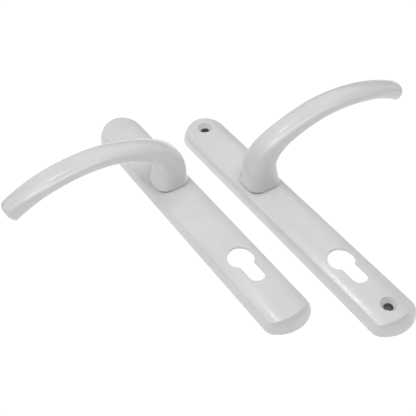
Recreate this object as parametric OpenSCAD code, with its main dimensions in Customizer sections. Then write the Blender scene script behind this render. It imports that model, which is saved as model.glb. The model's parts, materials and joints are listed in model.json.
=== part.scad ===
// Pair of sprung lever door handles on long backplates with euro-profile cut-outs.
// The inside handle's spindle axis is the Z axis. Both backplates stand on Z = 0.
// +Y runs up the door along the backplates, and the inside lever points along +X.

/* [Backplate] */
// From the spindle axis up to the top end of the plate
plate_above = 89.5; // [80:0.5:110]
// From the spindle axis down to the bottom end of the plate
plate_below = 154.5; // [148:0.5:190]
// Width of the plate at its back
plate_w = 35; // [33:0.5:43]
// Thickness of the plate, back to front
plate_t = 11; // [10.6:0.1:14]
// Wall and face thickness of the casting
skin = 2; // [1.6:0.1:2.4]
// Lean of the walls: how far the face is set in from the back
lean = 4.4; // [3:0.1:5]
// Radius of the crowned face, across the plate
crown_r = 39; // [36:1:80]
// Radius of the crown inside the casting
crown_in_r = 50; // [48:1:100]
// Radius of the bottom end's arc
end_arc_r = 23; // [22:0.5:30]
// Radius of the two bottom corners
corner_r = 7.8; // [7:0.1:9]

/* [Euro-profile cut-out] */
// From the spindle axis down to the centre of the cut-out's round part
pz = 92; // [85:1:95]
// Radius of the round part
key_r = 9.1; // [8.6:0.1:9.6]
// Width of the slot
key_slot_w = 10.8; // [10.2:0.1:12]
// Height of the whole cut-out
key_h = 32.8; // [32:0.1:35]

/* [Fixings] */
// From the spindle axis up to the upper fixing
fixing_above = 73; // [60:0.5:76]
// Distance between the two fixings
fixing_pitch = 211; // [205:1:220]
// Radius of the clearance hole for an M5 screw
fixing_hole_r = 3.1; // [2.7:0.1:3.3]
// Radius of the screw head's recess
recess_r = 5.4; // [4.8:0.1:6]
// Depth of the recess's straight part
recess_d = 1; // [0.5:0.1:1.5]
// Depth of the recess's cone
cone_d = 2.2; // [1.5:0.1:3]
// Radius of the bosses behind the fixings
boss_r = 6.2; // [5.8:0.1:7]
// Radius of a threaded insert
insert_r = 3.6; // [3:0.1:4]
// Length of a threaded insert
insert_len = 6.5; // [4:0.5:7.5]
// Radius of the insert's M5 thread, measured at its crests
thread_r = 2.1; // [2:0.05:2.3]

/* [Lever] */
// From the spindle axis to the middle of the lever's end
lever_reach = 117.5; // [100:0.5:145]
// Height of the lever's arch above the plate
lever_rise = 47.2; // [40:0.1:58]
// How far the end drops below the arch
tip_drop = 13.4; // [8:0.1:18]
// How far the end sags towards the cut-out
lever_sag = 2.8; // [0:0.1:5]
// Side of the lever's rounded square foot
foot_w = 26; // [25:0.1:30]
// Width of the grip, up the door
grip_w = 19.2; // [17:0.1:23]
// Thickness of the grip, away from the door
grip_t = 10.4; // [9:0.1:13]
// Gap between the lever's foot and the plate
foot_gap = 0.8; // [0.5:0.1:1]
// Angle at which a lever comes to rest, from the play in its spring
rest_play = -1.3; // [-2:0.1:2]
// Turn of a lever each way
lever_turn = 45; // [30:1:50]

/* [Hub] */
// Radius of the lever's spigot
spigot_r = 8.5; // [8:0.1:9]
// Distance across the two flats of the spigot's lower part
flats_w = 15.2; // [14.6:0.1:15.6]
// Across the flats of the spindle's square socket
socket_af = 8.1; // [8.05:0.05:8.3]
// Depth of the spindle's socket
socket_d = 28; // [15:1:30]
// Radial gap between the spigot and its bush
running_gap = 0.05; // [0.03:0.01:0.1]
// Wall of the bearing bush
bush_wall = 1.45; // [1:0.05:2]
// How far the bush's flange overhangs its sleeve
bush_flange = 2.4; // [1.2:0.1:2.6]

/* [Spring cassette] */
// Gap between the cassette and the plate's side walls
cup_gap = 0.15; // [0.1:0.05:0.3]
// Wall of the cassette
cup_wall = 0.8; // [0.6:0.1:1]
// Thickness of the cassette's floor
cup_floor = 0.7; // [0.6:0.1:1]
// Gap between the spring's coils and the spigot
coil_gap = 0.9; // [0.8:0.1:1]
// Wire diameter of the return spring
wire_d = 0.9; // [0.7:0.05:1]
// Whole turns of the return spring
spring_turns = 2; // [1:1:2]
// Thickness of the drive cam
cam_t = 0.7; // [0.6:0.1:0.9]
// Thickness of the steel cover
cover_t = 0.8; // [0.5:0.1:1]
// Thickness of the thrust washer
washer_t = 0.3; // [0.2:0.1:0.4]
// Thickness of the retaining ring
clip_t = 0.7; // [0.5:0.1:0.8]

/* [Lay-out] */
// Outside handle's spindle axis, to the left of the inside handle's
pair_x = 53.8; // [48:0.1:90]
// Outside handle's spindle axis, above the inside handle's
pair_y = 38.5; // [0:0.5:60]

/* [Hidden] */
$fn = 64;

fixing_y = [fixing_above, fixing_above - fixing_pitch];   // both fixings, measured from the spindle
bore_r = spigot_r + running_gap + bush_wall;              // the plate's bore for the bush

// Heights behind the face, from the door outwards
spigot_z = 0.3;                              // end of the lever's spigot
clip_z = spigot_z + 0.25;
washer_z = clip_z + clip_t + 0.03;
cover_z = washer_z + washer_t + 0.03;
cup_z = cover_z + cover_t;                   // open rim of the cassette
hub_z = plate_t - 4;                         // back of the hub boss, and the closed end of the cassette
cup_inner_z = hub_z - cup_floor;
cam_z = cup_inner_z - 0.1 - cam_t;
coil_r = spigot_r + coil_gap + wire_d / 2;      // middle of the spring's wire
coil_low = cup_z + 0.15 + wire_d / 2;
coil_pitch = wire_d + 0.05;

// Angles in the cassette: the spring's posts point up the door, the stops point down
post_half = 4.5;
leg_angle = 9.5;
stop_half = 6;
stop_play = 2;
stop_start = lever_turn + stop_half + stop_play;
stop_end = stop_start + 9;

// Backplate outline, set in by i all round, as one closed run of points
corner_x = plate_w / 2 - corner_r;
corner_drop = sqrt(pow(end_arc_r - corner_r, 2) - pow(corner_x, 2));
corner_turn = atan2(corner_drop, corner_x);
end_arc_y = end_arc_r - plate_below;
function arc(c, r, a0, a1, n) =
  [for (k = [0:n]) let (a = a0 + (a1 - a0) * k / n) c + r * [cos(a), sin(a)]];
function outline(i) = concat(
  arc([0, plate_above - plate_w / 2], plate_w / 2 - i, 0, 180, 28),
  arc([-corner_x, end_arc_y - corner_drop], corner_r - i, 180, 180 + corner_turn, 8),
  arc([0, end_arc_y], end_arc_r - i, 180 + corner_turn + 2, 358 - corner_turn, 10),
  arc([corner_x, end_arc_y - corner_drop], corner_r - i, 360 - corner_turn, 360, 8));

// How far the wall has leaned in at height z: the lean grows with the square of the height
function set_in_at(z) = lean * pow(max(z, 0) / plate_t, 2);

// The cassette fills the casting's inside at the height of its closed end
wall_x = plate_w / 2 - skin - set_in_at(hub_z);
ceiling_x = sqrt(pow(crown_in_r, 2) - pow(crown_in_r - (plate_t - skin - hub_z), 2));
cup_r = min(wall_x, ceiling_x) - cup_gap;
screw_y = cup_r + 3.4;                       // the cassette's screws, above and below the spindle
screw_r = 1.2;
screw_head_r = 2.3;
screw_head_t = 1.3;
ear_t = 1.1;

// The cross ribs: above the hub, and between the hub and the cut-out
rib_y = [screw_y + 29, -pz + key_r + 16.9];
rib_t = 1.6;
rib_z = plate_t / 2 - 1.5;

// The lever's middle line above the plate: three joined cubic curves
function along(p, a, d) = p + d * [cos(a), sin(a)];
function cubic(p, q, r, s, t) =
  pow(1 - t, 3) * p + 3 * pow(1 - t, 2) * t * q + 3 * (1 - t) * t * t * r + pow(t, 3) * s;
shoulder = [0.345 * lever_reach, lever_rise - 2.9];
grip_end = [lever_reach - 20.5, lever_rise - 4.6];
tip = [lever_reach, lever_rise - tip_drop];
shoulder_a = 15.7;
grip_end_a = -15;
tip_a = -40;
neck_start = [0, foot_gap];
runs = [
  [neck_start, neck_start + [0, 13.9], along(shoulder, shoulder_a, -0.43 * lever_reach), shoulder],
  [shoulder, along(shoulder, shoulder_a, 9.3), along(grip_end, grip_end_a, -27), grip_end],
  [grip_end, along(grip_end, grip_end_a, 5.5), along(tip, tip_a, -3), tip]
];
run_steps = [14, 10, 6];
middle = concat([for (k = [0:2]) for (j = [0:run_steps[k] - 1])
  cubic(runs[k][0], runs[k][1], runs[k][2], runs[k][3], j / run_steps[k])], [tip]);
last = len(middle) - 1;
function step_len(i) = norm(middle[i] - middle[i - 1]);
function run_to(i) = i == 0 ? 0 : run_to(i - 1) + step_len(i);
whole = run_to(last);
function heading(i) =
  let (d = middle[min(i + 1, last)] - middle[max(i - 1, 0)]) i == 0 ? 90 : atan2(d[1], d[0]);

// Cross-section along the lever: [share of the length, half width, half thickness, squareness]
sections = [
  [0, foot_w / 2, foot_w / 2, 3],
  [0.02, foot_w / 2 - 0.6, foot_w / 2 - 0.6, 2.9],
  [0.05, foot_w / 2 - 1, foot_w / 2 - 1.1, 2.8],
  [0.1, foot_w / 2 - 1.6, foot_w / 2 - 1.9, 2.7],
  [0.16, grip_w / 2 + 1.1, grip_t / 2 + 4.2, 2.6],
  [0.22, grip_w / 2 + 0.6, grip_t / 2 + 2.6, 2.4],
  [0.3, grip_w / 2 + 0.1, grip_t / 2 + 1.4, 2.3],
  [0.4, grip_w / 2, grip_t / 2 + 0.6, 2.3],
  [0.6, grip_w / 2 + 0.1, grip_t / 2 - 0.1, 2.3],
  [0.82, grip_w / 2, grip_t / 2 - 0.1, 2.3],
  [0.93, grip_w / 2 - 0.7, grip_t / 2 + 0.8, 2.3],
  [1, grip_w / 2 - 1.2, grip_t / 2 + 1.3, 2.3]
];
function part_of(col, u) = lookup(u, [for (s = sections) [s[0], s[col]]]);
ring_sides = 32;
// A point of the rounded section, as a super-ellipse of half sizes w and t
function round_pt(a, w, t, n) = [w * sign(cos(a)) * pow(abs(cos(a)), 2 / n),
                                 t * sign(sin(a)) * pow(abs(sin(a)), 2 / n)];
// One ring: at, across the middle line's heading a, set in by s and moved out by e along the heading
function ring(i, s, e) =
  let (u = run_to(i) / whole, a = heading(i), p = middle[i] + e * [cos(a), sin(a)])
  [for (k = [0:ring_sides - 1])
    let (q = round_pt(360 * k / ring_sides, part_of(1, u) - s, part_of(2, u) - s, part_of(3, u)))
    [p[0] + q[1] * sin(a), q[0] - lever_sag * p[0] / lever_reach, plate_t + p[1] - q[1] * cos(a)]];
// Rings of the rounded end: the set-in grows as the quarter round closes
tip_r = 3.2;
rings = concat([for (i = [0:last]) ring(i, 0, 0)],
  [for (b = [20:20:80]) ring(last, tip_r * (1 - cos(b)), tip_r * sin(b))],
  [ring(last, tip_r, tip_r)]);

// A closed skin through rings of points, with each end closed by a fan of triangles
function middle_of(r) = [for (a = [0:2]) [for (p = r) p[a]] * [for (p = r) 1] / len(r)];
module sweep(rs) {
  n = len(rs[0]);
  m = len(rs);
  polyhedron(
    points = concat([for (r = rs) for (p = r) p], [middle_of(rs[0]), middle_of(rs[m - 1])]),
    faces = concat(
      [for (k = [0:n - 1]) [m * n, (k + 1) % n, k]],
      [for (i = [0:m - 2]) for (k = [0:n - 1]) let (j = (k + 1) % n)
        each [[i * n + k, i * n + j, (i + 1) * n + k], [i * n + j, (i + 1) * n + j, (i + 1) * n + k]]],
      [for (k = [0:n - 1]) [m * n + 1, (m - 1) * n + k, (m - 1) * n + (k + 1) % n]]));
}

module tube(r_out, r_in, z, h) {
  translate([0, 0, z]) difference() {
    cylinder(r = r_out, h = h);
    translate([0, 0, -1]) cylinder(r = r_in, h = h + 2);
  }
}

// Part of a ring between two radii, centred on an angle
module sector(r_in, r_out, a, half, z, h) {
  translate([0, 0, z]) rotate([0, 0, a]) intersection() {
    difference() {
      cylinder(r = r_out, h = h);
      translate([0, 0, -1]) cylinder(r = r_in, h = h + 2);
    }
    linear_extrude(h) polygon([[0, 0], [2 * r_out, -2 * r_out * tan(half)], [2 * r_out, 2 * r_out * tan(half)]]);
  }
}

// Places: each handle's fixed pieces, and the pieces that turn with its lever
module inside() { children(); }
module outside() { translate([-pair_x, pair_y, 0]) mirror([1, 0, 0]) children(); }
module inside_turning() { rotate([0, 0, rest_play]) children(); }
module outside_turning() {
  translate([-pair_x, pair_y, 0]) rotate([0, 0, rest_play]) mirror([1, 0, 0]) children();
}

// The plate's form set in by i, from height bottom up to a face crowned to radius r, highest at height top
module plate_form(i, top, bottom, r) {
  steps = 6;
  intersection() {
    sweep([for (k = [steps:-1:0]) let (z = bottom + (top - bottom) * k / steps)
      [for (p = outline(set_in_at(z) + i)) [p[0], p[1], z]]]);
    translate([0, plate_above + 1, top - r]) rotate([90, 0, 0])
      cylinder(r = r, h = plate_above + plate_below + 2, $fn = 256);
  }
}

module euro_profile() {
  translate([0, -pz, -1]) {
    cylinder(r = key_r, h = plate_t + 2);
    slot_y = key_h - key_r - key_slot_w / 2;
    translate([-key_slot_w / 2, -slot_y, 0]) cube([key_slot_w, slot_y, plate_t + 2]);
    translate([0, -slot_y, 0]) cylinder(r = key_slot_w / 2, h = plate_t + 2);
  }
}

// Casting with its hub, fixing bosses and cross ribs, before the fixings are cut. The hub ends in a flat pad
// that stands out of the crowned face under the lever's foot
module plate_casting() {
  difference() {
    union() {
      difference() {
        plate_form(0, plate_t, 0, crown_r);
        plate_form(skin, plate_t - skin, -1, crown_in_r);
      }
      intersection() {
        plate_form(skin / 2, plate_t - skin / 2, 0.3, crown_r);
        union() {
          for (y = fixing_y) translate([0, y, 0.3]) cylinder(r = boss_r, h = plate_t);
          for (s = [-1, 1]) translate([0, s * screw_y, hub_z]) cylinder(r = 3, h = plate_t);
          for (y = rib_y) translate([-plate_w / 2, y - rib_t / 2, rib_z]) cube([plate_w, rib_t, plate_t]);
        }
      }
      translate([0, 0, hub_z]) cylinder(r = foot_w / 2, h = plate_t - hub_z);
    }
    translate([0, 0, -1]) cylinder(r = bore_r, h = plate_t + 2);
    for (s = [-1, 1]) translate([0, s * screw_y, hub_z - 1]) cylinder(r = screw_r, h = plate_t - hub_z - 0.4);
    euro_profile();
  }
}

module inside_backplate() color("white") inside() difference() {
  plate_casting();
  for (y = fixing_y) translate([0, y, 0]) {
    translate([0, 0, -1]) cylinder(r = fixing_hole_r, h = plate_t + 2);
    translate([0, 0, plate_t - recess_d]) cylinder(r = recess_r, h = recess_d + 1);
    translate([0, 0, plate_t - recess_d - cone_d])
      cylinder(r1 = fixing_hole_r, r2 = recess_r - 0.4, h = cone_d + 0.001);
  }
}

module outside_backplate() color("white") outside() difference() {
  plate_casting();
  for (y = fixing_y) translate([0, y, -1]) cylinder(r = insert_r, h = insert_len + 1.3);
}

module threaded_inserts() {
  for (y = fixing_y) translate([0, y, 0]) difference() {
    translate([0, 0, 0.3]) cylinder(r = insert_r, h = insert_len);
    translate([0, 0, -1]) cylinder(r = thread_r, h = insert_len + 3);
  }
}
module outside_threaded_inserts() color("goldenrod") outside() threaded_inserts();

module lever() {
  difference() {
    union() {
      sweep(rings);
      translate([0, 0, spigot_z]) cylinder(r = spigot_r, h = plate_t + 2 - spigot_z);
    }
    for (s = [-1, 1]) translate([s * (flats_w / 2 + spigot_r) - spigot_r, -spigot_r - 1, -1])
      cube([2 * spigot_r, 2 * spigot_r + 2, cam_z + cam_t + 1.05]);
    translate([-socket_af / 2, -socket_af / 2, -1]) cube([socket_af, socket_af, socket_d + 1]);
    tube(spigot_r + 1, spigot_r - 1.1, clip_z - 0.03, clip_t + 0.06);
  }
}
module inside_lever() color("white") inside_turning() lever();
module outside_lever() color("white") outside_turning() lever();

module bearing_bush() {
  tube(bore_r, spigot_r + running_gap, hub_z, plate_t - hub_z);
  tube(bore_r + bush_flange, spigot_r + running_gap, plate_t, foot_gap - 0.06);
}
module inside_bearing_bush() color("gray") inside() bearing_bush();
module outside_bearing_bush() color("gray") outside() bearing_bush();

module spring_cup() {
  difference() {
    union() {
      tube(cup_r, cup_r - cup_wall, cup_z, hub_z - cup_z);
      tube(cup_r - cup_wall / 2, spigot_r + 0.6, cup_inner_z, cup_floor);
      sector(cup_r - cup_wall - 1.2, cup_r - cup_wall / 2, 90, post_half, cup_z + 0.1, cup_inner_z - cup_z);
      for (s = [-1, 1]) sector(cup_r - cup_wall - 1.4, cup_r - cup_wall / 2,
        270 + s * (stop_start + stop_end) / 2, (stop_end - stop_start) / 2, cam_z - 0.1, hub_z - cam_z);
      for (s = [-1, 1]) difference() {
        translate([-3, min(s * (cup_r - 1), s * screw_y), hub_z - ear_t]) cube([6, screw_y - cup_r + 1, ear_t]);
        translate([0, 0, hub_z - ear_t - 1]) cylinder(r = cup_r - cup_wall / 2, h = ear_t + 2);
      }
      for (s = [-1, 1]) translate([0, s * screw_y, hub_z - ear_t]) cylinder(r = 3, h = ear_t);
    }
    for (s = [-1, 1]) translate([0, s * screw_y, 0]) cylinder(r = screw_r + 0.15, h = plate_t);
  }
}
module inside_spring_cup() color("dimgray") inside() spring_cup();
module outside_spring_cup() color("dimgray") outside() spring_cup();

// Keyed to the spigot's flats, with a post for the spring and a tooth for the stops
module drive_cam() {
  post_r = cup_r - cup_wall - 1.5;
  difference() {
    union() {
      translate([0, 0, cam_z]) cylinder(r = spigot_r + 1, h = cam_t);
      sector(spigot_r, post_r, 90, post_half, cam_z, cam_t);
      sector(coil_r + wire_d / 2 + 0.25, post_r, 90, post_half, coil_low, cam_z - coil_low + cam_t / 2);
      sector(spigot_r, cup_r - cup_wall - 0.5, 270, stop_half, cam_z, cam_t);
    }
    intersection() {
      translate([0, 0, cam_z - 1]) cylinder(r = spigot_r + 0.03, h = cam_t + 2);
      translate([-flats_w / 2 - 0.03, -spigot_r - 1, cam_z - 1]) cube([flats_w + 0.06, 2 * spigot_r + 2, cam_t + 2]);
    }
  }
}
module inside_drive_cam() color("silver") inside_turning() drive_cam();
module outside_drive_cam() color("silver") outside_turning() drive_cam();

// The spring's wire: a straight leg in, whole turns past the post, and a straight leg out
leg_reach = cup_r - cup_wall - 0.5;
coil_sweep = 360 * spring_turns - 2 * leg_angle;
coil_steps = 22 * spring_turns;
coil_line = [for (k = [0:coil_steps]) let (a = 90 + leg_angle + coil_sweep * k / coil_steps)
  [coil_r * cos(a), coil_r * sin(a), coil_low + coil_pitch * spring_turns * k / coil_steps]];
function leg_pt(a, r, z) = [r * cos(a), r * sin(a), z];
wire_line = concat([leg_pt(90 + leg_angle, leg_reach, coil_low)], [leg_pt(90 + leg_angle, coil_r + wire_d, coil_low)],
  coil_line,
  [leg_pt(90 - leg_angle, coil_r + wire_d, coil_low + coil_pitch * spring_turns)],
  [leg_pt(90 - leg_angle, leg_reach, coil_low + coil_pitch * spring_turns)]);
wire_last = len(wire_line) - 1;
function unit(v) = v / norm(v);
function wire_dir(i) = unit(wire_line[min(i + 1, wire_last)] - wire_line[max(i - 1, 0)]);
wire_rings = [for (i = [0:wire_last])
  let (d = wire_dir(i), side = unit(cross(d, [0, 0, 1])), up = cross(side, d))
  [for (k = [0:7]) wire_line[i] + wire_d / 2 * (cos(45 * k) * side + sin(45 * k) * up)]];

module return_spring() sweep(wire_rings);
module inside_return_spring() color("lightgray") inside() return_spring();
module outside_return_spring() color("lightgray") outside() return_spring();

module cassette_cover() tube(cup_r, spigot_r + 0.5, cover_z, cover_t);
module inside_cassette_cover() color("silver") inside() cassette_cover();
module outside_cassette_cover() color("silver") outside() cassette_cover();

module thrust_washer() tube(spigot_r + 2.8, spigot_r + 0.1, washer_z, washer_t);
module inside_thrust_washer() color("silver") inside() thrust_washer();
module outside_thrust_washer() color("silver") outside() thrust_washer();

// Open ring in the spigot's groove, with a plier hole in each ear
module retaining_ring() {
  difference() {
    union() {
      tube(spigot_r + 1.4, spigot_r - 1.05, clip_z, clip_t);
      for (s = [-1, 1]) rotate([0, 0, 270 + s * 17]) translate([spigot_r + 1, 0, clip_z])
        cylinder(r = 1.6, h = clip_t);
    }
    for (s = [-1, 1]) rotate([0, 0, 270 + s * 17]) translate([spigot_r + 1.1, 0, 0]) cylinder(r = 0.6, h = plate_t);
    translate([0, 0, clip_z - 1]) cylinder(r = spigot_r - 1.05, h = clip_t + 2);
    translate([0, 0, clip_z - 1]) rotate([0, 0, 270]) linear_extrude(clip_t + 2)
      polygon([[0, 0], [2 * spigot_r, -2 * spigot_r * tan(9)], [2 * spigot_r, 2 * spigot_r * tan(9)]]);
  }
}
module inside_retaining_ring() color("silver") inside_turning() retaining_ring();
module outside_retaining_ring() color("silver") outside_turning() retaining_ring();

module cassette_screws() {
  for (s = [-1, 1]) translate([0, s * screw_y, hub_z - ear_t]) difference() {
    union() {
      translate([0, 0, -screw_head_t]) cylinder(r = screw_head_r, h = screw_head_t);
      cylinder(r = screw_r - 0.02, h = ear_t + plate_t - hub_z - 1.6);
    }
    for (a = [0, 90]) rotate([0, 0, a]) translate([-1.3, -0.3, -screw_head_t - 1]) cube([2.6, 0.6, 1.7]);
  }
}
module inside_cassette_screws() color("silver") inside() cassette_screws();
module outside_cassette_screws() color("silver") outside() cassette_screws();

inside_backplate();
inside_lever();
inside_bearing_bush();
inside_spring_cup();
inside_drive_cam();
inside_return_spring();
inside_cassette_cover();
inside_thrust_washer();
inside_retaining_ring();
inside_cassette_screws();
outside_backplate();
outside_lever();
outside_bearing_bush();
outside_spring_cup();
outside_drive_cam();
outside_return_spring();
outside_cassette_cover();
outside_thrust_washer();
outside_retaining_ring();
outside_cassette_screws();
outside_threaded_inserts();
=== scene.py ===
# A pair of white lever door handles on long backplates, laid side by side.
# The outside handle is on the left and the inside handle, with the screw holes, on the right.
import json

import bmesh
import bpy
import numpy as np
from mathutils import Matrix, Vector
from mathutils.geometry import delaunay_2d_cdt


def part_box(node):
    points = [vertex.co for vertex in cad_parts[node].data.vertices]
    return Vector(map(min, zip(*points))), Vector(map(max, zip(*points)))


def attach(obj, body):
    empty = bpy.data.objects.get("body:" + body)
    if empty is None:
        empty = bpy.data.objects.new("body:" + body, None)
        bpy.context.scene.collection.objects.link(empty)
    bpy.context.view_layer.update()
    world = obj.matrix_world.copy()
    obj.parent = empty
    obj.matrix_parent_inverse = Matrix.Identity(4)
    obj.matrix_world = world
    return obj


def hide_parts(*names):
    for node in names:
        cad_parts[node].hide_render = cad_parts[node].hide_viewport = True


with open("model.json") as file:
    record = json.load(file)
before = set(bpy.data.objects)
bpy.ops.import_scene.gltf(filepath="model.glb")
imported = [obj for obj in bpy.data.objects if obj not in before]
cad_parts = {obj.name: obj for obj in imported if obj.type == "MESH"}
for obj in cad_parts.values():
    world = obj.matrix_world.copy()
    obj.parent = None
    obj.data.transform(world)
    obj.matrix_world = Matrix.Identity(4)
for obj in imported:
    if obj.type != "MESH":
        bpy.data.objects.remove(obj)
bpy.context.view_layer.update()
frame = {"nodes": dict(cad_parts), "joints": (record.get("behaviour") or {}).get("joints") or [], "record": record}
print("frame loaded:", len(frame["nodes"]), "nodes")

mm = 0.001
record = frame["record"]
joints = {joint["name"]: joint for joint in frame["joints"]}
mounts = {mount["name"]: mount for mount in record["mounts"]}
scene = bpy.context.scene


# Meshes

def arc(centre, radius, start, end, count):
    # points on a circle from one angle to another, in degrees, both ends included
    a = np.radians(np.linspace(start, end, count))
    return np.stack([centre[0] + radius * np.cos(a), centre[1] + radius * np.sin(a)], 1)


def circle(radius, count=96, centre=(0, 0)):
    return arc(centre, radius, 0, 360, count + 1)[:-1]


def atHeight(outline, z):
    # a flat outline lifted to one height, or each point to its own
    return np.column_stack([outline, np.broadcast_to(z, len(outline))])


def strips(loops, closeStart=False, closeEnd=False):
    # rings of equal count joined by four-sided faces, with a fan to the middle of an end that is closed
    count = len(loops[0])
    points = np.concatenate(loops)
    k = np.arange(count)
    after = (k + 1) % count
    faces = []
    for i in range(len(loops) - 1):
        low, high = i * count, (i + 1) * count
        faces += np.stack([low + k, low + after, high + after, high + k], 1).tolist()
    ends = [(closeStart, 0, loops[0]), (closeEnd, (len(loops) - 1) * count, loops[-1])]
    for wanted, first, loop in ends:
        if wanted:
            middle = len(points)
            points = np.vstack([points, loop.mean(0)])
            faces += np.stack([first + k, first + after, np.full(count, middle)], 1).tolist()
    return points, faces


def inside(points, outline):
    # which points lie in a closed outline: an odd number of its edges pass to the right of them
    a, b = outline, np.roll(outline, -1, 0)
    x, y = points[:, 0, None], points[:, 1, None]
    spans = (a[:, 1] > y) != (b[:, 1] > y)
    rise = np.where(b[:, 1] == a[:, 1], 1e-12, b[:, 1] - a[:, 1])
    crossing = a[:, 0] + (y - a[:, 1]) * (b[:, 0] - a[:, 0]) / rise
    return (spans & (x < crossing)).sum(1) % 2 == 1


def sheet(outer, holes, height, spacing=1.1):
    # a face between an outer outline and its holes, in triangles: a grid of points fills it, and the
    # function height lifts every point
    outlines = [outer] + holes
    edge = np.concatenate(outlines)
    edges, first = [], 0
    for outline in outlines:
        k = np.arange(len(outline))
        edges += np.stack([first + k, first + (k + 1) % len(outline)], 1).tolist()
        first += len(outline)
    low, high = outer.min(0), outer.max(0)
    columns = np.linspace(low[0], high[0], round((high[0] - low[0]) / spacing))[1:-1]
    rows = np.linspace(low[1], high[1], round((high[1] - low[1]) / (2 * spacing)))[1:-1]
    grid = np.stack(np.meshgrid(columns, rows), -1).reshape(-1, 2)
    toEdge = np.linalg.norm(grid[:, None] - edge, axis=2).min(1)
    free = inside(grid, outer) & (toEdge > 0.7 * spacing)
    for hole in holes:
        free &= ~inside(grid, hole)
    points = np.concatenate([edge, grid[free]])
    result = delaunay_2d_cdt([Vector(p) for p in points.tolist()], edges, [], 0, 1e-9)
    points = np.array([tuple(p) for p in result[0]])
    triangles = np.array(result[2])
    centres = points[triangles].mean(1)
    keep = inside(centres, outer)
    for hole in holes:
        keep &= ~inside(centres, hole)
    return atHeight(points, height(points)), triangles[keep].tolist()


def makePiece(name, groups, place, sharpAngle=28):
    # joins groups of patches, given in mm, each in its own material, welds their shared edges and turns
    # every face outwards
    mesh = bpy.data.meshes.new(name)
    points, faces, slots, first = [], [], [], 0
    for slot, (material, patches) in enumerate(groups):
        mesh.materials.append(material)
        for patchPoints, patchFaces in patches:
            points.append(patchPoints)
            faces += [[first + i for i in face] for face in patchFaces]
            slots += [slot] * len(patchFaces)
            first += len(patchPoints)
    placed = place(np.concatenate(points)) * mm
    mesh.from_pydata(placed.tolist(), [], faces)
    mesh.polygons.foreach_set("material_index", slots)
    work = bmesh.new()
    work.from_mesh(mesh)
    bmesh.ops.remove_doubles(work, verts=work.verts, dist=1e-7)
    bmesh.ops.recalc_face_normals(work, faces=work.faces)
    work.to_mesh(mesh)
    work.free()
    mesh.shade_smooth()
    mesh.set_sharp_from_angle(angle=np.radians(sharpAngle))
    piece = bpy.data.objects.new(name, mesh)
    scene.collection.objects.link(piece)
    return piece


# Materials

def hexColour(text):
    # sRGB hex to the linear colour that the shaders take
    s = np.array([int(text[i:i + 2], 16) for i in (1, 3, 5)]) / 255
    linear = np.where(s <= 0.04045, s / 12.92, ((s + 0.055) / 1.055) ** 2.4)
    return (*linear.tolist(), 1.0)


def addNode(tree, kind, settings=None, links=None):
    # one node, with its inputs or properties set and its inputs linked
    node = tree.nodes.new(kind)
    for key, value in (settings or {}).items():
        if key in node.inputs:
            node.inputs[key].default_value = value
        else:
            setattr(node, key, value)
    for key, source in (links or {}).items():
        tree.links.new(source, node.inputs[key])
    return node


def newMaterial(name, settings):
    material = bpy.data.materials.new(name)
    material.use_nodes = True
    tree = material.node_tree
    shader = tree.nodes["Principled BSDF"]
    for key, value in settings.items():
        shader.inputs[key].default_value = value
    return material, tree, shader


def objectPoint(tree):
    return addNode(tree, "ShaderNodeTexCoord").outputs["Object"]


def greyRamp(tree, source, low, high, lowHex, highHex):
    # a blend between two hex colours as a value goes from low to high
    ramp = addNode(tree, "ShaderNodeValToRGB", links={"Fac": source})
    ramp.color_ramp.elements[0].position = low
    ramp.color_ramp.elements[0].color = hexColour(lowHex)
    ramp.color_ramp.elements[1].position = high
    ramp.color_ramp.elements[1].color = hexColour(highHex)
    return ramp.outputs["Color"]


def roughnessRange(tree, source, low, high):
    spread = addNode(tree, "ShaderNodeMapRange", {"To Min": low, "To Max": high}, {"Value": source})
    return spread.outputs["Result"]


def noise(tree, point, size, detail):
    # soft noise whose features are about size mm across
    settings = {"Scale": 1 / (size * mm), "Detail": detail}
    return addNode(tree, "ShaderNodeTexNoise", settings, {"Vector": point}).outputs["Fac"]


def vary(tree, shader, pattern, hexes, roughness, edges=(0.3, 0.7)):
    # the colour goes from one hex to the other, and the roughness over its range, as the pattern does
    tree.links.new(greyRamp(tree, pattern, *edges, *hexes), shader.inputs["Base Color"])
    tree.links.new(roughnessRange(tree, pattern, *roughness), shader.inputs["Roughness"])


def relief(tree, shader, layers):
    # bumps from pairs of pattern and depth in mm, each laid over the one before
    normal = {}
    for pattern, depth in layers:
        settings = {"Strength": 1.0, "Distance": depth * mm}
        node = addNode(tree, "ShaderNodeBump", settings, {"Height": pattern, **normal})
        normal = {"Normal": node.outputs["Normal"]}
    tree.links.new(normal["Normal"], shader.inputs["Normal"])


# Gloss polyester powder coat on die-cast zinc: an even white skin that flows out to a faint
# orange peel, about 2 mm from crest to crest, and levels to a soft sheen rather than a mirror.
whiteCoat = {"low": "#E1E1E2", "high": "#E6E6E7", "roughness": (0.2, 0.26), "driftSize": 28,
             "peelSize": 2.2, "peelDepth": 0.012, "speckSize": 0.35, "speckDepth": 0.0025}


def powderCoat():
    settings = {"IOR": 1.5, "Coat Weight": 0.3, "Coat Roughness": 0.08}
    material, tree, shader = newMaterial("gloss white powder-coated zinc", settings)
    point = objectPoint(tree)
    drift = noise(tree, point, whiteCoat["driftSize"], 2.0)
    vary(tree, shader, drift, (whiteCoat["low"], whiteCoat["high"]), whiteCoat["roughness"], (0.35, 0.65))
    peel = noise(tree, point, whiteCoat["peelSize"], 1.0)
    specks = noise(tree, point, whiteCoat["speckSize"], 2.0)
    relief(tree, shader, [(peel, whiteCoat["peelDepth"]), (specks, whiteCoat["speckDepth"])])
    return material


# Injection-moulded nylon: near black, softly matt, with a fine spark-eroded grain about 0.3 mm across.
def mouldedNylon():
    material, tree, shader = newMaterial("moulded black nylon", {"IOR": 1.53})
    grain = noise(tree, objectPoint(tree), 0.3, 3.0)
    vary(tree, shader, grain, ("#1E1E20", "#2C2C2E"), (0.45, 0.6))
    relief(tree, shader, [(grain, 0.01)])
    return material


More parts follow.
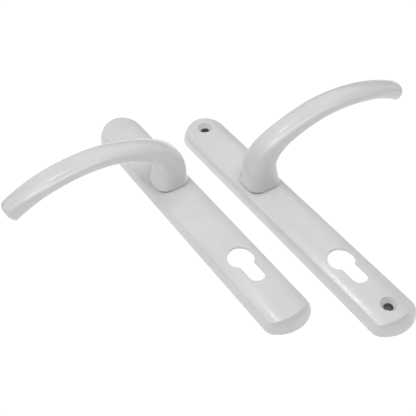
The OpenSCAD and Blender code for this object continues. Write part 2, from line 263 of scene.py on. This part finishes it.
# Bright zinc plate on pressed steel: a bluish silver, cloudy in patches a few mm wide, with rolling lines.
def zincPlate():
    material, tree, shader = newMaterial("bright zinc-plated steel", {"Metallic": 1.0})
    point = objectPoint(tree)
    vary(tree, shader, noise(tree, point, 4, 4.0), ("#B4B9BE", "#D3D6D8"), (0.24, 0.4))
    across, along = 1 / (0.25 * mm), 1 / (9 * mm)
    stretch = addNode(tree, "ShaderNodeMapping", {"Scale": (across, along, across)}, {"Vector": point})
    lines = addNode(tree, "ShaderNodeTexNoise", {"Scale": 1.0, "Detail": 2.0},
                    {"Vector": stretch.outputs["Vector"]})
    relief(tree, shader, [(lines.outputs["Fac"], 0.004)])
    return material


# Drawn spring wire, hardened and oiled: dark grey steel with faint drawing marks.
def springSteel():
    material, tree, shader = newMaterial("oiled spring steel", {"Metallic": 1.0})
    point = objectPoint(tree)
    vary(tree, shader, noise(tree, point, 1.6, 3.0), ("#6E7073", "#94979A"), (0.26, 0.42))
    relief(tree, shader, [(noise(tree, point, 0.15, 1.0), 0.002)])
    return material


# Free-turning brass: warm yellow with a light brown film and turning rings 0.2 mm apart.
def turnedBrass():
    material, tree, shader = newMaterial("turned brass", {"Metallic": 1.0})
    point = objectPoint(tree)
    vary(tree, shader, noise(tree, point, 2, 3.0), ("#B08F4E", "#D9BC74"), (0.22, 0.38))
    bands = {"wave_type": "BANDS", "bands_direction": "Z", "Scale": 0.314 / (0.2 * mm), "Distortion": 0.4}
    rings = addNode(tree, "ShaderNodeTexWave", bands, {"Vector": point})
    relief(tree, shader, [(rings.outputs["Fac"], 0.006)])
    return material


# Die-cast zinc that the coating hasn't reached, deep in a bore: dull and slightly grainy, and dark grey, which
# also paints in the shade down the bore.
def bareZincWithBoreShade():
    material, tree, shader = newMaterial("bare die-cast zinc with painted bore shade", {"Metallic": 0.6})
    grain = noise(tree, objectPoint(tree), 0.5, 3.0)
    vary(tree, shader, grain, ("#66676A", "#7E7F83"), (0.5, 0.7))
    relief(tree, shader, [(grain, 0.01)])
    return material


coat, nylon, plated = powderCoat(), mouldedNylon(), zincPlate()
# zinc: the bores' bare metal, kept dark as painted shade inside them
spring, brass, zinc = springSteel(), turnedBrass(), bareZincWithBoreShade()
print("materials made")


# Camera

view = {"azimuth": -31.75, "elevation": 44.72, "roll": -1.91, "distance": 0.5816,
        "target": (-0.04094, 0.00637, 0.0), "lens": 69.72, "sensor": 36}


def makeCamera():
    # stands off the target along azimuth and elevation, turned about its own axis by roll
    a, e, r = np.radians([view["azimuth"], view["elevation"], view["roll"]])
    back = np.array([np.sin(a) * np.cos(e), -np.cos(a) * np.cos(e), np.sin(e)])
    level = np.array([np.cos(a), np.sin(a), 0.0])
    up = np.cross(back, level)
    right = level * np.cos(r) + up * np.sin(r)
    top = up * np.cos(r) - level * np.sin(r)
    data = bpy.data.cameras.new("camera")
    data.lens = view["lens"]
    data.sensor_width = view["sensor"]
    camera = bpy.data.objects.new("camera", data)
    place = np.eye(4)
    place[:3, 0], place[:3, 1], place[:3, 2] = right, top, back
    place[:3, 3] = np.array(view["target"]) + view["distance"] * back
    camera.matrix_world = Matrix(place.tolist())
    scene.collection.objects.link(camera)
    scene.camera = camera


makeCamera()


# Backplates

plateLow, plateHigh = (np.array(corner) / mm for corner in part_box("inside_backplate"))
cutout = mounts["inside_cylinder_cutout"]
screwHoles = mounts["inside_screw_holes"]
plate = {"above": plateHigh[1], "below": -plateLow[1], "width": plateHigh[0] - plateLow[0],
         "height": plateHigh[2], "wall": 2.0, "lean": 4.4, "crown": 39.0, "innerCrown": 50.0,
         "crease": 0.5, "endArc": 23.0, "cornerRadius": 7.8, "rimBreak": 0.25}
keyhole = {"centre": cutout["pos_m"][1] / mm, "radius": cutout["dims"]["r_mm"], "slotWidth": 10.8,
           "height": 32.8, "cornerRadius": 1.2, "edgeRadius": 0.5, "support": 0.4}
fixing = {"pitch": screwHoles["dims"]["spacing_y_mm"], "middle": screwHoles["pos_m"][1] / mm,
          "holeRadius": screwHoles["dims"]["hole_r_mm"], "recessRadius": 5.4, "recessDepth": 1.0,
          "coneDepth": 2.2, "bossRadius": 6.2, "bossFoot": 0.3, "pocketRadius": 3.6, "pocketDepth": 6.8}
hub = {"boreRadius": 10.0, "padRadius": 13.0, "bossFoot": 7.0, "screwOffset": 16.97, "postRadius": 3.0,
       "pilotRadius": 1.2, "pilotTop": 9.6}
rib = {"places": (46.0, -66.0), "thickness": 1.6, "low": 4.0, "high": 7.0, "intoWall": 0.8,
       "intoCeiling": 0.3}


def plateOutline():
    # a half circle at the top end, and a shallow arc with rounded corners at the bottom end, with
    # straight sides: each point at the foot of the wall, and its direction straight out of the plate
    half, corner, end = plate["width"] / 2, plate["cornerRadius"], plate["endArc"]
    cornerX = half - corner
    drop = np.sqrt((end - corner) ** 2 - cornerX ** 2)
    turn = np.degrees(np.arctan2(drop, cornerX))
    topY, endY = plate["above"] - half, end - plate["below"]
    sideY = np.linspace(topY, endY - drop, 84)[1:-1]
    left = np.stack([np.full(len(sideY), -half), sideY], 1)
    runs = [(arc((0, topY), half, 0, 180, 97), (0, topY)),
            (left, left + [1, 0]),
            (arc((-cornerX, endY - drop), corner, 180, 180 + turn, 25), (-cornerX, endY - drop)),
            (arc((0, endY), end, 180 + turn, 360 - turn, 41)[1:-1], (0, endY)),
            (arc((cornerX, endY - drop), corner, 360 - turn, 360, 25), (cornerX, endY - drop)),
            ((left * [-1, 1])[::-1], (left * [-1, 1])[::-1] - [1, 0])]
    foot = np.concatenate([points for points, centre in runs])
    outward = np.concatenate([points - centre for points, centre in runs])
    return foot, outward / np.linalg.norm(outward, axis=1)[:, None]


plateFoot, plateOutward = plateOutline()


def plateLoop(inset, z):
    # the plate's outline set in by inset, at height z, which may both differ from point to point
    inset = np.broadcast_to(inset, len(plateFoot))
    return atHeight(plateFoot - inset[:, None] * plateOutward, z)


def leanAt(z):
    # how far the wall has leaned in at height z: it grows with the square of the height
    return plate["lean"] * (np.maximum(z, 0) / plate["height"]) ** 2


def faceHeight(points):
    # the face is part of a cylinder that lies along the plate, highest on the plate's middle line
    return plate["height"] - plate["crown"] + np.sqrt(plate["crown"] ** 2 - points[:, 0] ** 2)


def ceilingHeight(points):
    # the same, inside the casting, a little flatter
    top = plate["height"] - plate["wall"]
    return top - plate["innerCrown"] + np.sqrt(plate["innerCrown"] ** 2 - points[:, 0] ** 2)


def creaseLoop(height, wall):
    # where the leaning wall meets the crowned face: each pass puts a point's height nearer to the face
    firstGuess, passes = 0.8 * plate["height"], 30
    z = np.full(len(plateFoot), firstGuess)
    for _ in range(passes):
        inset = leanAt(z) + wall
        z = height(plateLoop(inset, z))
    return inset, z


def outsideLoops():
    # up the outside: a broken rim, the leaning wall, and a small round over the crease, which is a
    # quadratic curve from the wall to the face
    rim, beyondCrease = plate["rimBreak"], 0.5
    loops = [plateLoop(rim, 0.0), plateLoop(0.3 * rim, 0.3 * rim), plateLoop(leanAt(rim), rim)]
    inset, z = creaseLoop(faceHeight, 0.0)
    wallTop = z - plate["crease"]
    for t in np.linspace(0.08, 1, 10):
        level = rim + (wallTop - rim) * t
        loops.append(plateLoop(leanAt(level), level))
    onWall, crease = loops[-1], plateLoop(inset, z)
    onFace = plateLoop(inset + plate["crease"], 0.0)
    onFace[:, 2] = faceHeight(onFace)
    for t in np.linspace(0.16, 1, 6)[:-1]:
        loops.append((1 - t) ** 2 * onWall + 2 * t * (1 - t) * crease + t ** 2 * onFace)
    beyond = plateLoop(inset + plate["crease"] + beyondCrease, 0.0)
    beyond[:, 2] = faceHeight(beyond)
    return loops + [onFace, beyond]


def insideLoops():
    # down the inside: from the ceiling, round the corner, down the leaning wall and out to the rim
    inset, z = creaseLoop(ceilingHeight, plate["wall"])
    onCeiling = plateLoop(inset + 0.3, 0.0)
    onCeiling[:, 2] = ceilingHeight(onCeiling)
    loops = [onCeiling, plateLoop(inset + 0.06, z - 0.06)]
    for t in (1, 0.75, 0.5, 0.25, 0):
        level = 0.3 + (z - 0.6) * t
        loops.append(plateLoop(leanAt(level) + plate["wall"], level))
    return loops + [plateLoop(plate["wall"] - 0.05, 0.07), plateLoop(plate["wall"] - 0.2, 0.0),
                    plateLoop(plate["rimBreak"], 0.0)]


def keyholeOutline(offset):
    # a circle and a slot with a round end, grown by offset, with the metal's corners rounded where the
    # two meet
    corner = keyhole["cornerRadius"]
    cx = keyhole["slotWidth"] / 2 + corner
    cy = -np.sqrt((keyhole["radius"] + corner) ** 2 - cx ** 2)
    turn = np.degrees(np.arctan2(-cy, cx))
    half = keyhole["slotWidth"] / 2 + offset
    foot = keyhole["radius"] - keyhole["height"] + keyhole["slotWidth"] / 2
    outline = np.concatenate([
        arc((0, 0), keyhole["radius"] + offset, -turn, 180 + turn, 73)[:-1],
        arc((-cx, cy), corner - offset, turn, 0, 9),
        arc((0, foot), half, 180, 360, 37),
        arc((cx, cy), corner - offset, 180, 180 - turn, 9)[:-1]])
    return outline + [0, keyhole["centre"]]


def keyholeLoops():
    # over a rounded edge and down the wall: a support loop on the face, a quarter round, then the wall
    edge = keyhole["edgeRadius"]
    support = keyholeOutline(edge + keyhole["support"])
    loops = [atHeight(support, faceHeight(support))]
    for a in np.radians(np.linspace(90, 0, 6)):
        outline = keyholeOutline(edge * (1 - np.cos(a)))
        loops.append(atHeight(outline, faceHeight(outline) - edge * (1 - np.sin(a))))
    return loops + [atHeight(keyholeOutline(0), ceilingHeight(keyholeOutline(0)))]


def roundLoops(centreY, steps):
    # circles about a point on the plate's middle line, from pairs of radius and height; a height may be
    # a function of the points, with a drop below it
    loops = []
    for radius, z, *drop in steps:
        outline = circle(radius, centre=(0, centreY))
        loops.append(atHeight(outline, z(outline) - sum(drop) if callable(z) else z))
    return loops


def hubLoops():
    # the pad that stands out of the face, the bore through it and the boss behind it
    bore, pad, top, foot = hub["boreRadius"], hub["padRadius"], plate["height"], hub["bossFoot"]
    rise = circle(pad)
    padEdge = top - np.minimum(0.3, top - faceHeight(rise))
    onFace = roundLoops(0, [(pad + 0.6, faceHeight), (pad, faceHeight)])
    overPad = roundLoops(0, [(pad - 0.14, top - 0.08), (pad - 0.35, top), (bore + 0.5, top),
                             (bore + 0.15, top)])
    downBore = roundLoops(0, [(bore, top - 0.15), (bore, foot + 0.15), (bore + 0.15, foot)])
    behind = roundLoops(0, [(pad - 0.2, foot), (pad, foot + 0.1), (pad, ceilingHeight)])
    return onFace + [atHeight(circle(pad - 0.04), padEdge)] + overPad + downBore + behind


def backplate(side):
    # the casting's patches in its coat, and those deep in its bores, which are painted dark grey as the shade
    # there
    outer, inner = outsideLoops(), insideLoops()
    fixingYs = [fixing["middle"] + s * fixing["pitch"] / 2 for s in (1, -1)]
    drops = [keyholeLoops(), hubLoops()]
    coated, bare = [strips(outer), strips(inner)], []
    faceHoles = [loops[0][:, :2] for loops in drops]
    boss, foot = fixing["bossRadius"], fixing["bossFoot"]
    bossSteps = [(boss - 0.25, foot), (boss, foot + 0.25), (boss, ceilingHeight)]
    for y in fixingYs:
        if side == "inside":
            recess, hole = fixing["recessRadius"], fixing["holeRadius"]
            step = plate["height"] - fixing["recessDepth"]
            coneFoot = step - fixing["coneDepth"]
            recessLoops = roundLoops(y, [
                (recess + 0.7, faceHeight), (recess + 0.3, faceHeight),
                (recess + 0.09, faceHeight, 0.09), (recess, faceHeight, 0.3),
                (recess, step + 0.1), (recess - 0.1, step), (recess - 0.4, step - 0.05),
                (hole + 0.05, coneFoot + 0.05), (hole, coneFoot - 0.1)])
            bore = roundLoops(y, [(hole, coneFoot - 0.1), (hole, foot + 0.2)])
            behind = roundLoops(y, [(hole, foot + 0.2), (hole + 0.2, foot)] + bossSteps)
            faceHoles.append(recessLoops[0][:, :2])
            coated.append(strips(recessLoops))
            # the bore walls take the dark zinc: bare metal, painted dark as the shade down the bore
            bare.append(strips(bore))
        else:
            pocket = fixing["pocketRadius"]
            pocketSteps = [(pocket, fixing["pocketDepth"]), (pocket, foot + 0.1), (pocket + 0.1, foot)]
            behind = roundLoops(y, pocketSteps + bossSteps)
            coated.append(strips(behind[:1] * 2, closeStart=True))
        drops.append(behind)
    for s in (1, -1):
        post = roundLoops(s * hub["screwOffset"], [(hub["pilotRadius"], hub["pilotTop"]),
                                                   (hub["pilotRadius"], hub["bossFoot"]),
                                                   (hub["postRadius"], hub["bossFoot"]),
                                                   (hub["postRadius"], ceilingHeight)])
        coated.append(strips(post[:1] * 2, closeStart=True))
        drops.append(post)
    coated += [strips(loops) for loops in drops]
    coated.append(sheet(outer[-1][:, :2], faceHoles, faceHeight))
    coated.append(sheet(inner[0][:, :2], [loops[-1][:, :2] for loops in drops], ceilingHeight, 2.0))
    return coated, bare


def ribPatches():
    # cross ribs: the hollow's own section from the rib's foot up, let a little way into walls and
    # ceiling, and carried through the rib's thickness with its lower edges broken
    patches = []
    half, low, intoWall = rib["thickness"] / 2, rib["low"], rib["intoWall"]
    edge = [(0, 0.35), (0.1, 0.1), (0.35, 0)]   # in from the rib's side, and up from its foot
    sections = [(t - half, pull) for t, pull in edge] + [(half - t, pull) for t, pull in edge[::-1]]
    across = np.linspace(-1, 1, 25)
    for y in rib["places"]:
        loops = []
        for dy, pull in sections:
            levels = np.linspace(low + pull, rib["high"], 6)
            wall = plate["width"] / 2 - plate["wall"] + intoWall - leanAt(levels)
            x = np.concatenate([-wall, wall[-1] * across[1:-1], wall[::-1]])
            top = ceilingHeight(wall[-1] * across[1:-1, None]) + rib["intoCeiling"]
            z = np.concatenate([levels, top, levels[::-1]])
            loops.append(np.stack([x, np.full(len(x), y + dy), z], 1))
        patches.append(strips(loops, closeStart=True, closeEnd=True))
    return patches


# Levers

lever = {"reach": 117.5, "rise": 47.2, "tipDrop": 13.4, "sag": 2.8, "footWidth": 26.0,
         "gripWidth": 19.2, "gripThickness": 10.4, "footGap": 0.8, "restPlay": -1.3, "tipRadius": 3.2,
         "tipLength": 2.85, "sides": 96}
arch = {"shoulderShare": 0.345, "shoulderDrop": 2.9, "shoulderAngle": 15.7, "gripBack": 20.5,
        "gripDrop": 4.6, "gripAngle": -15, "tipAngle": -40, "footPull": 13.9, "risingPull": 0.43,
        "crestPull": 9.3, "gripPull": 27, "endPull": 5.5, "tipPull": 3}
spigot = {"radius": 8.5, "acrossFlats": 15.2, "flatsTop": 6.25, "end": 0.3, "grooveRadius": 7.4,
          "grooveLow": 0.52, "grooveHigh": 1.28, "socket": 8.1, "socketTop": 28.0}


def cubic(start, startHandle, endHandle, end, count):
    t = np.linspace(0, 1, count)[:, None]
    return ((1 - t) ** 3 * start + 3 * (1 - t) ** 2 * t * startHandle + 3 * (1 - t) * t ** 2 * endHandle
            + t ** 3 * end)


def smooth(x, knots, values):
    # a smooth curve through knots: cubic pieces whose slopes are averages of the slopes on either side
    knots, values = np.array(knots), np.array(values)
    secants = np.diff(values) / np.diff(knots)
    slopes = np.concatenate([[secants[0]], (secants[1:] + secants[:-1]) / 2, [secants[-1]]])
    i = np.clip(np.searchsorted(knots, x, side="right") - 1, 0, len(knots) - 2)
    width = knots[i + 1] - knots[i]
    t = (x - knots[i]) / width
    return ((2 * t ** 3 - 3 * t ** 2 + 1) * values[i] + (t ** 3 - 2 * t ** 2 + t) * width * slopes[i]
            + (3 * t ** 2 - 2 * t ** 3) * values[i + 1] + (t ** 3 - t ** 2) * width * slopes[i + 1])


def leverPath():
    # the middle line above the plate: three joined cubics, out of the plate, over the arch and down at
    # the end; and each station's share of the length
    def along(point, angle, distance):
        a = np.radians(angle)
        return point + distance * np.array([np.cos(a), np.sin(a)])

    reach, rise = lever["reach"], lever["rise"]
    lift, fall, droop = arch["shoulderAngle"], arch["gripAngle"], arch["tipAngle"]
    start = np.array([0, lever["footGap"]])
    shoulder = np.array([arch["shoulderShare"] * reach, rise - arch["shoulderDrop"]])
    gripEnd = np.array([reach - arch["gripBack"], rise - arch["gripDrop"]])
    tip = np.array([reach, rise - lever["tipDrop"]])
    rising = cubic(start, start + [0, arch["footPull"]],
                   along(shoulder, lift, -arch["risingPull"] * reach), shoulder, 400)
    crest = cubic(shoulder, along(shoulder, lift, arch["crestPull"]),
                  along(gripEnd, fall, -arch["gripPull"]), gripEnd, 300)
    falling = cubic(gripEnd, along(gripEnd, fall, arch["endPull"]),
                    along(tip, droop, -arch["tipPull"]), tip, 120)
    line = np.concatenate([rising[:-1], crest[:-1], falling])
    lengths = np.concatenate([[0], np.cumsum(np.linalg.norm(np.diff(line, axis=0), axis=1))])
    stations = lengths[-1] * np.concatenate([np.linspace(0, 0.12, 26)[:-1], np.linspace(0.12, 1, 130)])
    middle = np.stack([np.interp(stations, lengths, line[:, axis]) for axis in (0, 1)], 1)
    return middle, stations / lengths[-1]


def leverRings():
    # a super-ellipse carried square to the middle line: square at the foot, oval along the grip
    middle, share = leverPath()
    heading = np.gradient(middle, axis=0)
    heading[0] = (0, 1)
    heading /= np.linalg.norm(heading, axis=1)[:, None]
    foot, width, thickness = lever["footWidth"] / 2, lever["gripWidth"] / 2, lever["gripThickness"] / 2
    knots = [0, 0.02, 0.05, 0.1, 0.16, 0.22, 0.3, 0.4, 0.6, 0.82, 0.93, 1]
    halfWidth = smooth(share, knots, [
        foot, foot - 0.6, foot - 1.0, foot - 1.6, width + 1.1, width + 0.6, width + 0.1, width,
        width + 0.1, width, width - 0.7, width - 1.2])
    halfThick = smooth(share, knots, [
        foot, foot - 0.6, foot - 1.1, foot - 1.9, thickness + 4.2, thickness + 2.6, thickness + 1.4,
        thickness + 0.6, thickness - 0.1, thickness - 0.1, thickness + 0.8, thickness + 1.3])
    power = smooth(share, knots, [3, 2.9, 2.8, 2.7, 2.6, 2.4, 2.3, 2.3, 2.3, 2.3, 2.3, 2.3])
    a = np.linspace(0, 2 * np.pi, lever["sides"], endpoint=False)

    def ring(i, inset, ahead):
        across = np.sign(np.cos(a)) * np.abs(np.cos(a)) ** (2 / power[i]) * (halfWidth[i] - inset)
        through = np.sign(np.sin(a)) * np.abs(np.sin(a)) ** (2 / power[i]) * (halfThick[i] - inset)
        x, z = middle[i] + ahead * heading[i]
        droop = lever["sag"] * x / lever["reach"]
        return np.stack([x + through * heading[i, 1], across - droop,
                         plate["height"] + z - through * heading[i, 0]], 1)

    last, radius, length = len(middle) - 1, lever["tipRadius"], lever["tipLength"]
    rings = [ring(i, 0, 0) for i in range(len(middle))]
    for b in np.radians(np.linspace(8, 90, 12)):
        rings.append(ring(last, radius * (1 - np.cos(b)), length * np.sin(b)))
    for inward, swell in ((0.6, 0.05), (1.6, 0.12), (2.8, 0.16)):
        rings.append(ring(last, radius + inward, length + swell))
    return rings


def spigotRings(firstRing):
    # from the foot's edge in to the spigot, down it, round its groove, and up into the square socket
    angles = np.arctan2(firstRing[:, 1], firstRing[:, 0])
    ray = np.stack([np.cos(angles), np.sin(angles)], 1)

    def clipped(radius, flats):
        # a circle cut off by two flats
        size = np.minimum(radius, flats / 2 / np.maximum(np.abs(ray[:, 0]), 1e-9))
        return ray * size[:, None]

    def square(side):
        return ray * (side / 2 / np.abs(ray).max(1))[:, None]

    footZ = plate["height"] + lever["footGap"]
    radius, flats = spigot["radius"], spigot["acrossFlats"]
    foot = firstRing[:, :2]
    shaft, groove = clipped(radius, flats), clipped(spigot["grooveRadius"], flats)
    socket, end = spigot["socket"], spigot["end"]
    steps = [(foot - ray * 0.12, footZ), (foot - ray * 0.6, footZ), (ray * (radius + 0.4), footZ),
             (ray * radius, footZ - 0.02), (ray * radius, spigot["flatsTop"]), (shaft, spigot["flatsTop"]),
             (shaft, spigot["grooveHigh"]), (groove, spigot["grooveHigh"]),
             (groove, spigot["grooveLow"]), (shaft, spigot["grooveLow"]), (shaft * 0.985, end),
             (square(socket + 0.6), end), (square(socket), end + 0.3), (square(socket), spigot["socketTop"])]
    return [atHeight(outline, z) for outline, z in steps]


def leverPatches():
    rings = leverRings()
    below = spigotRings(rings[0])
    return [strips(below[::-1] + rings, closeStart=True, closeEnd=True)]


# Return springs

coil = {"wire": 0.9, "radius": 9.85, "low": 3.01, "pitch": 0.95, "turns": 2, "legAngle": 9.5,
        "legReach": 12.27, "legStart": 1.1, "legPoints": 6, "easing": 3, "sides": 16}


def springPatches():
    # a helix about the spindle axis with a straight leg out from each end, and a round wire carried along it
    sweep = 360 * coil["turns"] - 2 * coil["legAngle"]
    a = np.radians(90 + coil["legAngle"] + np.linspace(0, sweep, 60 * coil["turns"]))
    rise = np.linspace(0, coil["pitch"] * coil["turns"], len(a))
    helix = np.stack([coil["radius"] * np.cos(a), coil["radius"] * np.sin(a), coil["low"] + rise], 1)

    def leg(angle, z):
        out = np.linspace(coil["legReach"], coil["radius"] + coil["legStart"], coil["legPoints"])
        direction = np.radians(angle)
        return np.stack([out * np.cos(direction), out * np.sin(direction), np.full(len(out), z)], 1)

    firstLeg = leg(90 + coil["legAngle"], coil["low"])
    lastLeg = leg(90 - coil["legAngle"], coil["low"] + coil["pitch"] * coil["turns"])
    line = np.concatenate([firstLeg, helix, lastLeg[::-1]])
    for _ in range(coil["easing"]):
        line[1:-1] = (line[:-2] + 2 * line[1:-1] + line[2:]) / 4   # eases the bends into the legs
    along = np.gradient(line, axis=0)
    along /= np.linalg.norm(along, axis=1)[:, None]
    side = np.cross(along, [0, 0, 1])
    side /= np.linalg.norm(side, axis=1)[:, None]
    up = np.cross(side, along)
    b = np.linspace(0, 2 * np.pi, coil["sides"], endpoint=False)[:, None]
    rings = []
    for i in range(len(line)):
        rings.append(line[i] + coil["wire"] / 2 * (np.cos(b) * side[i] + np.sin(b) * up[i]))
    return [strips(rings, closeStart=True, closeEnd=True)]


# Both handles

def turned(points, degrees):
    a = np.radians(degrees)
    turn = np.array([[np.cos(a), -np.sin(a), 0], [np.sin(a), np.cos(a), 0], [0, 0, 1]])
    return points @ turn.T


def makeHandle(side, mirror):
    # the outside handle is the inside one mirrored about its spindle and moved to its own spindle axis
    spindle = np.array(joints[side + "_lever_turn"]["pos_m"]) / mm
    flip = np.array([-1.0 if mirror else 1.0, 1.0, 1.0])

    def fixedPlace(points):
        return points * flip + spindle

    def turningPlace(points):
        return turned(points * flip, lever["restPlay"]) + spindle

    coated, bare = backplate(side)
    groups = [(coat, coated + ribPatches())]
    # the bores' dark zinc paints the shade inside them
    if bare:
        groups.append((zinc, bare))
    casting = makePiece(side + "_plate_casting", groups, fixedPlace)
    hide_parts(side + "_backplate")
    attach(casting, side + "_plate")
    grip = makePiece(side + "_lever_casting", [(coat, leverPatches())], turningPlace, sharpAngle=35)
    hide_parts(side + "_lever")
    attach(grip, side + "_handle")
    wire = makePiece(side + "_spring_wire", [(spring, springPatches())], fixedPlace)
    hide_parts(side + "_return_spring")
    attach(wire, side + "_plate")
    print(side, "handle made")


makeHandle("inside", False)
makeHandle("outside", True)

finishes = {"bearing_bush": nylon, "spring_cup": nylon, "drive_cam": plated, "cassette_cover": plated,
            "thrust_washer": plated, "retaining_ring": spring, "cassette_screws": plated,
            "threaded_inserts": brass}
for name, node in frame["nodes"].items():
    finish = finishes.get(name.split("_", 1)[1])
    if finish:
        node.data.materials.clear()
        node.data.materials.append(finish)
print("small parts finished")


# Floor and light

studio = {"floorSize": 3.0, "floorColour": "#3C3C3C", "floorRoughness": 0.9, "glowColour": "#FFFFFF",
          "floorGlow": 1.0, "floorDrop": 0.05, "skyColour": "#FFFFFF", "skyStrength": 0.02,
          "lampDistance": 1.3, "lampSize": 0.8, "spotSize": 0.15, "lampAim": (-0.03, 0.0, 0.02)}


def makeFloor():
    # a back-lit sheet, whose glow keeps it white all over and hides the shadows on it
    mesh = bpy.data.meshes.new("floor")
    half, z = studio["floorSize"] / 2, -studio["floorDrop"] * mm
    corners = [(-half, -half, z), (half, -half, z), (half, half, z), (-half, half, z)]
    mesh.from_pydata(corners, [], [(0, 1, 2, 3)])
    material, _, _ = newMaterial("back-lit white acrylic", {
        "Base Color": hexColour(studio["floorColour"]), "Roughness": studio["floorRoughness"],
        "Emission Color": hexColour(studio["glowColour"]), "Emission Strength": studio["floorGlow"]})
    mesh.materials.append(material)
    floor = bpy.data.objects.new("floor", mesh)
    scene.collection.objects.link(floor)


# round softboxes all about the work: azimuth from +X towards +Y, elevation, and power in watts
softboxes = [(0, 65, 0.9), (60, 65, 1.0), (120, 65, 1.2), (180, 65, 2.4), (240, 65, 3.9), (300, 65, 2.5),
             (45, 38, 1.1), (90, 38, 0.8), (135, 38, 1.0), (180, 38, 1.0), (315, 38, 0.8),
             (0, 14, 0.7), (90, 14, 0.7)]
# two small bright lamps, for streaks along the levers
spots = [(108, 67, 0.6), (194, 66, 0.6)]


def makeLights():
    world = bpy.data.worlds.new("studio")
    world.use_nodes = True
    sky = world.node_tree.nodes["Background"]
    sky.inputs["Color"].default_value = hexColour(studio["skyColour"])
    sky.inputs["Strength"].default_value = studio["skyStrength"]
    scene.world = world
    lamps = [(*lamp, studio["lampSize"]) for lamp in softboxes]
    lamps += [(*lamp, studio["spotSize"]) for lamp in spots]
    for azimuth, elevation, power, size in lamps:
        a, e = np.radians([azimuth, elevation])
        towards = Vector((np.cos(a) * np.cos(e), np.sin(a) * np.cos(e), np.sin(e)))
        data = bpy.data.lights.new("softbox", "AREA")
        data.shape = "DISK"
        data.size = size
        data.energy = power
        light = bpy.data.objects.new("softbox_%d_%d" % (azimuth, elevation), data)
        light.location = Vector(studio["lampAim"]) + towards * studio["lampDistance"]
        light.rotation_euler = (-towards).to_track_quat("-Z", "Y").to_euler()
        scene.collection.objects.link(light)


makeFloor()
makeLights()
scene.view_settings.view_transform = "Standard"
print("floor and lights placed")
